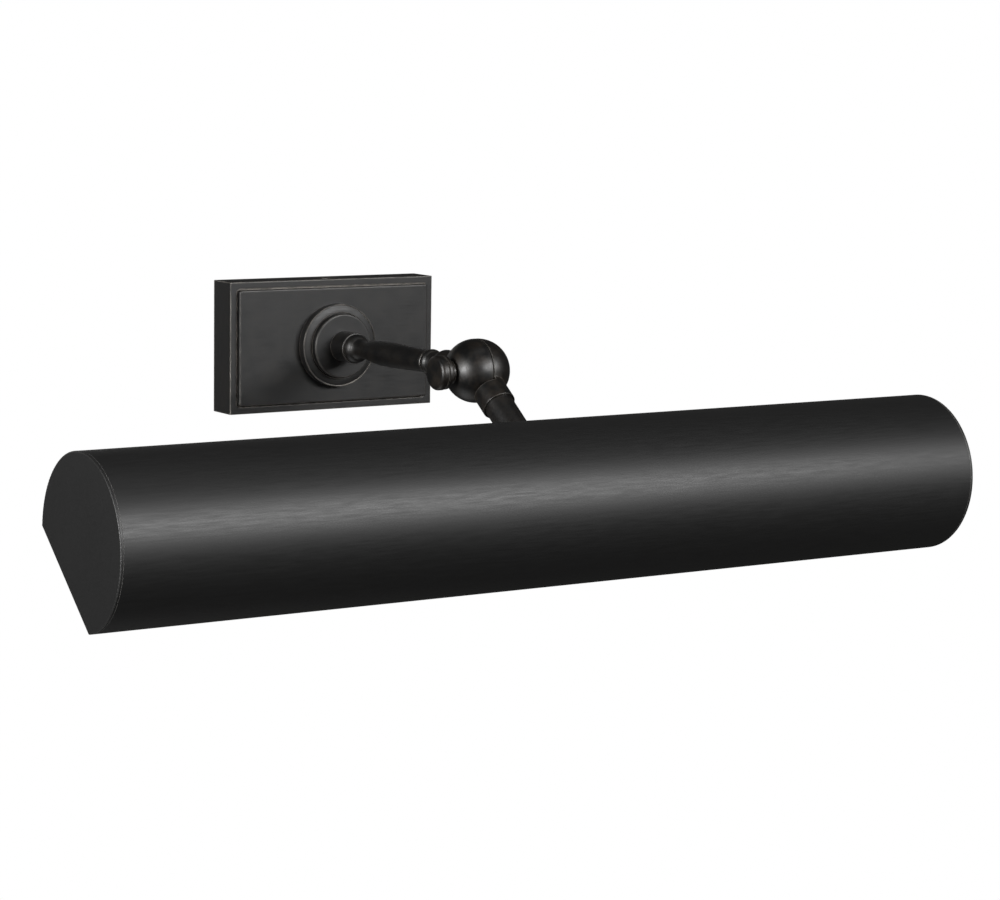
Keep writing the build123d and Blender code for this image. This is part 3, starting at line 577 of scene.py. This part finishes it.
def sheet_section():
    """Points (y, z) along the middle of the sheet, hem to hem, about the shade's axis."""
    outer = SHADE_R - SHEET_T / 2
    inner = outer - SHEET_T
    hem = HEM_W / inner
    fold_r = SHEET_T / 2
    fold = fold_r / outer
    points = []
    for step in range(HEM_STEPS + 1):  # the hem at the back edge, running towards its fold
        points.append((inner, BACK_EDGE + hem + (fold - hem) * step / HEM_STEPS))
    for step in range(1, FOLD_STEPS):
        a = math.pi * step / FOLD_STEPS
        radius = (outer + inner) / 2 - fold_r * math.cos(a)
        points.append((radius, BACK_EDGE + fold - fold * math.sin(a)))
    sweep = LOWER_EDGE - BACK_EDGE - 2 * fold
    for step in range(ARC_STEPS + 1):
        points.append((outer, BACK_EDGE + fold + sweep * step / ARC_STEPS))
    for step in range(1, FOLD_STEPS):
        a = math.pi * step / FOLD_STEPS
        radius = (outer + inner) / 2 + fold_r * math.cos(a)
        points.append((radius, LOWER_EDGE - fold + fold * math.sin(a)))
    for step in range(HEM_STEPS + 1):
        points.append((inner, LOWER_EDGE - fold + (fold - hem) * step / HEM_STEPS))
    return [(r * math.cos(a), r * math.sin(a)) for r, a in points]


section = bpy.data.curves.new("shade_section", "CURVE")
section.dimensions = "3D"
spline = section.splines.new("POLY")
outline = sheet_section()
spline.points.add(len(outline) - 1)
for point, (y, z) in zip(spline.points, outline):
    point.co = (y, z, 0, 1)
print("section points:", len(outline))

# %% Sweep the section
tree, given, out = new_tree("sweep_section", [("Length", "NodeSocketFloat")])
half = tree.nodes.new("ShaderNodeMath")
half.operation = "MULTIPLY"
half.inputs[1].default_value = 0.5
line = tree.nodes.new("GeometryNodeCurvePrimitiveLine")
line.mode = "DIRECTION"
line.inputs["Direction"].default_value = (0, 0, 1)
back = tree.nodes.new("ShaderNodeCombineXYZ")
negative = tree.nodes.new("ShaderNodeMath")
negative.operation = "MULTIPLY"
negative.inputs[1].default_value = -1.0
sweep = tree.nodes.new("GeometryNodeCurveToMesh")
tree.links.new(given.outputs["Length"], line.inputs["Length"])
tree.links.new(given.outputs["Length"], half.inputs[0])
tree.links.new(half.outputs[0], negative.inputs[0])
tree.links.new(negative.outputs[0], back.inputs["Z"])
tree.links.new(back.outputs[0], line.inputs["Start"])
tree.links.new(line.outputs["Curve"], sweep.inputs["Curve"])
tree.links.new(given.outputs["Geometry"], sweep.inputs["Profile Curve"])
finish_tree(tree, sweep.outputs["Mesh"], out)
sheet = run_tree(tree, {"Length": SHELL_LENGTH}, black_paint, section)
sheet.transform(from_axes(SHADE_AXIS, Vector((0, 1, 0)), Vector((0, 0, 1)), Vector((1, 0, 0))))
print("sheet has", len(sheet.polygons), "faces")

# %% [markdown]
# The sheet has no thickness yet. Solidify grows it inwards and outwards by half. The inner face
# of the wall then gets white enamel. A hem is folded back, which turns its painted side towards
# the lamps, so the two hems stay black.

# %% Give the sheet its thickness
METAL_SHARE = 0.98  # a hair of air stays inside the fold
INSIDE_WALL = 0.05 * MM
holder = add_object("holder", sheet)
wall = holder.modifiers.new("wall", "SOLIDIFY")
wall.thickness = SHEET_T * METAL_SHARE
wall.offset = 0.0
shell = frozen(holder)
shell.materials.append(white_enamel)
ENAMEL_R = SHADE_R - SHEET_T - INSIDE_WALL
hem_angle = HEM_W / ENAMEL_R
for face in shell.polygons:
    face.use_smooth = True
    offset = face.center - SHADE_AXIS
    radius = math.hypot(offset.y, offset.z)
    angle = math.atan2(offset.z, offset.y) % (2 * math.pi)
    open_wall = BACK_EDGE + hem_angle < angle < LOWER_EDGE - hem_angle
    toward_axis = face.normal.y * offset.y + face.normal.z * offset.z < 0
    if open_wall and toward_axis and radius < SHADE_R - SHEET_T / 2:
        face.material_index = 1
shade_part = add_part("rolled_shade", shell, "shade", ["shade_shell"])
low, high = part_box("shade_shell")
print("rolled shade in mm:", [round(v / MM, 2) for v in shade_part.dimensions])
print("CAD shell in mm:   ", [round(v / MM, 2) for v in high - low])

# %% [markdown]
# ## Screw threads
# CAD leaves every thread as a plain rod. Each real one is a ridge that climbs round its rod in a
# helix, so one node tree sweeps a small round profile along a spiral. The rods stay as they
# are, and each ridge is a part of its own that rides with its rod.

# %% The thread tree
THREAD_INPUTS = [
    ("Rod radius", "NodeSocketFloat"),
    ("Ridge", "NodeSocketFloat"),
    ("Length", "NodeSocketFloat"),
    ("Turns", "NodeSocketFloat"),
]
thread_tree, given, out = new_tree("thread", THREAD_INPUTS)
spiral = thread_tree.nodes.new("GeometryNodeCurveSpiral")
spiral.inputs["Resolution"].default_value = 40
thread_tree.links.new(given.outputs["Turns"], spiral.inputs["Rotations"])
thread_tree.links.new(given.outputs["Rod radius"], spiral.inputs["Start Radius"])
thread_tree.links.new(given.outputs["Rod radius"], spiral.inputs["End Radius"])
thread_tree.links.new(given.outputs["Length"], spiral.inputs["Height"])
profile = thread_tree.nodes.new("GeometryNodeCurvePrimitiveCircle")
profile.inputs["Resolution"].default_value = 8
thread_tree.links.new(given.outputs["Ridge"], profile.inputs["Radius"])
ridge = thread_tree.nodes.new("GeometryNodeCurveToMesh")
ridge.inputs["Fill Caps"].default_value = True
thread_tree.links.new(spiral.outputs["Curve"], ridge.inputs["Curve"])
thread_tree.links.new(profile.outputs["Curve"], ridge.inputs["Profile Curve"])
finish_tree(thread_tree, ridge.outputs["Mesh"], out)


def thread(name, node, start, direction, length, radius, pitch, ridge_r, material):
    """A helical ridge round a rod that starts at a point and runs along a direction."""
    values = {"Rod radius": radius, "Ridge": ridge_r, "Length": length, "Turns": length / pitch}
    mesh = run_tree(thread_tree, values, material)
    z_axis = direction.normalized()
    helper = Vector((1, 0, 0)) if abs(z_axis.x) < 0.5 else Vector((0, 1, 0))
    x_axis = helper.cross(z_axis).normalized()
    mesh.transform(from_axes(start, x_axis, z_axis.cross(x_axis), z_axis))
    add_part(name, mesh, body_of[node])
    print(name, len(mesh.polygons), "faces")


# %% Threads on nipples, screws and lamp caps
NIPPLE_R = 4.8 * MM
FINE_PITCH = 1.0 * MM
FINE_RIDGE = 0.26 * MM
START_GAP = 0.3 * MM  # plain rod before a thread begins
END_GAP = 0.4 * MM  # plain rod after it ends
low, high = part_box("arm_nipple")
nut_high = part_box("nipple_nut")[1]
back_end = high.y - END_GAP
thread(
    "arm_nipple_thread", "arm_nipple", Vector((0, nut_high.y + START_GAP, 0)), Vector((0, 1, 0)),
    back_end - nut_high.y - START_GAP, NIPPLE_R, FINE_PITCH, FINE_RIDGE, zinc_steel,
)  # fmt: skip
NUT_OUTER_L = 54.2 * MM
STEM_NIPPLE_END = 56.5 * MM
thread(
    "stem_nipple_thread", "stem_nipple", HINGE + STEM * (NUT_OUTER_L + START_GAP), STEM,
    STEM_NIPPLE_END - NUT_OUTER_L - START_GAP - END_GAP, NIPPLE_R, FINE_PITCH, FINE_RIDGE, zinc_steel,
)  # fmt: skip
screw_low, screw_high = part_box("plate_screws")
screw_y = (screw_low.y + screw_high.y) / 2
SCREW_SHANK_R = 1.75 * MM
SCREW_LENGTH = 10.0 * MM
HEAD_DEPTH = 2.6 * MM
SCREW_PITCH = 0.7 * MM
SCREW_RIDGE = 0.18 * MM
SCREW_SUNK = 0.04 * MM
for place, end in (("top", 1), ("bottom", -1)):
    tip = Vector((0, screw_y, end * (screw_high.z - SCREW_LENGTH + START_GAP)))
    thread(
        f"plate_screw_thread_{place}", "plate_screws", tip, Vector((0, 0, end)),
        SCREW_LENGTH - HEAD_DEPTH, SCREW_SHANK_R - SCREW_SUNK, SCREW_PITCH, SCREW_RIDGE, plate_bronze,
    )  # fmt: skip
LAMP_THREAD_R = 6.9 * MM
LAMP_PITCH = 2.8 * MM
LAMP_RIDGE = 0.42 * MM
LAMP_SUNK = 0.1 * MM
LAMP_TIP = 4.0 * MM
LAMP_THREAD_LENGTH = 10.5 * MM
for side_name, side in (("right", 1), ("left", -1)):
    cap_low, cap_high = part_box(f"lamp_cap_{side_name}")
    tip_x = cap_low.x if side > 0 else cap_high.x
    start = LAMP_AXIS + Vector((tip_x + side * LAMP_TIP, 0, 0))
    thread(
        f"lamp_thread_{side_name}", f"lamp_cap_{side_name}", start, Vector((side, 0, 0)),
        LAMP_THREAD_LENGTH, LAMP_THREAD_R - LAMP_SUNK, LAMP_PITCH, LAMP_RIDGE, lamp_brass,
    )  # fmt: skip

# %% [markdown]
# ## Turned helpers
# A lathe turns an outline of (along, radius) points about an axis, and the result is closed at
# both ends. The lamps' glass stems are made this way. A wire is a round section along a line.


# %% Lathe and wire
def lathe(outline, origin, axis, across, material, steps=48):
    """A closed turned mesh from (along, radius) points, about an axis from an origin."""
    third = axis.cross(across)
    verts = [origin + axis * outline[0][0]]
    for along, radius in outline[1:-1]:
        for step in range(steps):
            a = 2 * math.pi * step / steps
            verts.append(origin + axis * along + (across * math.cos(a) + third * math.sin(a)) * radius)
    verts.append(origin + axis * outline[-1][0])
    rings = len(outline) - 2
    faces = []
    for step in range(steps):
        following = (step + 1) % steps
        faces.append((0, 1 + following, 1 + step))
        for ring in range(rings - 1):
            base, upper = 1 + ring * steps, 1 + (ring + 1) * steps
            faces.append((base + step, base + following, upper + following, upper + step))
        base = 1 + (rings - 1) * steps
        faces.append((base + step, base + following, len(verts) - 1))
    mesh = bpy.data.meshes.new("turned")
    mesh.from_pydata(verts, [], faces)
    mesh.materials.append(material)
    for face in mesh.polygons:
        face.use_smooth = True
    return mesh


def wire(points, radius, material, order=3):
    """A round wire along a smooth line, as a mesh."""
    curve = bpy.data.curves.new("wire", "CURVE")
    curve.dimensions = "3D"
    curve.bevel_depth = radius
    curve.bevel_resolution = 3
    curve.use_fill_caps = True
    line = curve.splines.new("NURBS")
    line.points.add(len(points) - 1)
    for point, place in zip(line.points, points):
        point.co = (*place, 1)
    line.order_u = min(order, len(points))
    line.use_endpoint_u = True
    mesh = frozen(add_object("wire", curve))
    mesh.materials.clear()
    mesh.materials.append(material)
    return mesh


def joined(name, meshes):
    """One mesh that holds them all, each face keeping its material."""
    result = bpy.data.meshes.new(name)
    work = bmesh.new()
    for mesh in meshes:
        for material in mesh.materials:
            if material.name not in result.materials:
                result.materials.append(material)
        index = list(result.materials).index(mesh.materials[0])
        before = len(work.faces)
        work.from_mesh(mesh)
        work.faces.ensure_lookup_table()
        for face in work.faces[before:]:
            face.material_index = index
            face.smooth = True
    bmesh.ops.recalc_face_normals(work, faces=work.faces)
    work.to_mesh(result)
    work.free()
    return result


print("lathe and wire ready")

# %% [markdown]
# ## Ribbed wire connectors
# The two connectors inside the wall plate are twisted on by hand, so they have grip ribs. The
# node tree sets a rib on each point round a circle. Each rib is a thin eight-sided bar along
# the connector, sunk just over halfway into it.

# %% The rib tree
RIB_INPUTS = [
    ("Count", "NodeSocketInt"),
    ("Circle radius", "NodeSocketFloat"),
    ("Rib length", "NodeSocketFloat"),
    ("Rib width", "NodeSocketFloat"),
]
rib_tree, given, out = new_tree("ribs", RIB_INPUTS)
circle = rib_tree.nodes.new("GeometryNodeMeshCircle")
rib_tree.links.new(given.outputs["Count"], circle.inputs["Vertices"])
rib_tree.links.new(given.outputs["Circle radius"], circle.inputs["Radius"])
bar = rib_tree.nodes.new("GeometryNodeMeshCylinder")
bar.inputs["Vertices"].default_value = 8
rib_tree.links.new(given.outputs["Rib width"], bar.inputs["Radius"])
rib_tree.links.new(given.outputs["Rib length"], bar.inputs["Depth"])
place_ribs = rib_tree.nodes.new("GeometryNodeInstanceOnPoints")
rib_tree.links.new(circle.outputs["Mesh"], place_ribs.inputs["Points"])
rib_tree.links.new(bar.outputs["Mesh"], place_ribs.inputs["Instance"])
finish_tree(rib_tree, place_ribs.outputs["Instances"], out)

CONNECTOR_R = 4.2 * MM
GRIP_LENGTH = 6.2 * MM
GRIP_START = 0.35 * MM
RIB_COUNT = 16
RIB_R = 0.3 * MM
RIB_SUNK = 0.05 * MM
connector_low, connector_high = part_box("wire_nuts")
connector_y = (connector_low.y + connector_high.y) / 2
values = {
    "Count": RIB_COUNT,
    "Circle radius": CONNECTOR_R - RIB_SUNK,
    "Rib length": GRIP_LENGTH,
    "Rib width": RIB_R,
}
for place, end in (("upper", 1), ("lower", -1)):
    ribs = run_tree(rib_tree, values, nut_plastic)
    centre_z = end * (connector_high.z - CONNECTOR_R)
    centre = Vector((connector_low.x + GRIP_START + GRIP_LENGTH / 2, connector_y, centre_z))
    ribs.transform(from_axes(centre, Vector((0, 1, 0)), Vector((0, 0, 1)), Vector((1, 0, 0))))
    add_part(f"connector_ribs_{place}", ribs, body_of["wire_nuts"])
print("ribs on two connectors")

# %% [markdown]
# ## Inside the lamps
# Through the glass a lamp shows a glass stem, four long filaments coated in yellow phosphor and
# the fine wires that hold them. The wires are bent by hand in the real lamp, so each is a
# smooth curve guided by a few points, and neighbouring filaments lean opposite ways.

# %% Lamp insides
FILAMENT_COUNT = 4
FILAMENT_CIRCLE = 3.4 * MM
FILAMENT_R = 0.62 * MM
CLAMP_R = 0.4 * MM  # the crimp at each end of a filament
POST_R = 0.3 * MM
LEAD_R = 0.18 * MM
filament_glass = clear_glass("filament_glass")
for side_name, side in (("right", 1), ("left", -1)):
    node = f"lamp_filament_{side_name}"
    low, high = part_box(node)
    root_x = low.x if side > 0 else -high.x
    length = high.x - low.x
    along = Vector((side, 0, 0))
    upward = Vector((0, 0, 1))
    origin = LAMP_AXIS + along * root_x
    flare = [
        (0.0, 0.0), (0.0, 5.0 * MM), (1.2 * MM, 4.6 * MM), (4 * MM, 3.3 * MM), (9 * MM, 2.3 * MM),
        (15 * MM, 1.9 * MM), (18.5 * MM, 2.0 * MM), (19.6 * MM, 1.4 * MM), (20 * MM, 0.0),
    ]  # fmt: skip
    stem_mesh = lathe(flare, origin, along, upward, filament_glass)
    pieces = [stem_mesh]
    post = [origin + along * d * MM for d in (18, 40, 70, 83)]
    pieces.append(wire(post, POST_R, zinc_steel))
    for turn in range(FILAMENT_COUNT):
        a = math.radians(45 + 360 * turn / FILAMENT_COUNT)
        lean = math.radians(9 if turn % 2 else -7)
        out_dir = Vector((0, math.cos(a), math.sin(a)))
        far_dir = Vector((0, math.cos(a + lean), math.sin(a + lean)))
        near = origin + along * 24 * MM + out_dir * FILAMENT_CIRCLE
        far = origin + along * (length - 4 * MM) + far_dir * FILAMENT_CIRCLE
        pieces.append(wire([near, far], FILAMENT_R, phosphor, order=2))
        for end, tip in ((near, near - along * 1.6 * MM), (far, far + along * 1.6 * MM)):
            pieces.append(wire([end, tip], CLAMP_R, zinc_steel, order=2))
        root = origin + along * 17 * MM + out_dir * 0.9 * MM
        lead_in = [root, near - along * 4 * MM, near - along * 1.2 * MM]
        lead_out = [far + along * 1.2 * MM, far + along * 2.6 * MM, origin + along * 83 * MM]
        pieces.append(wire(lead_in, LEAD_R, zinc_steel))
        pieces.append(wire(lead_out, LEAD_R, zinc_steel))
    add_part(f"lamp_insides_{side_name}", joined("lamp_insides", pieces), "shade", [node])
print("lamp insides for two lamps")
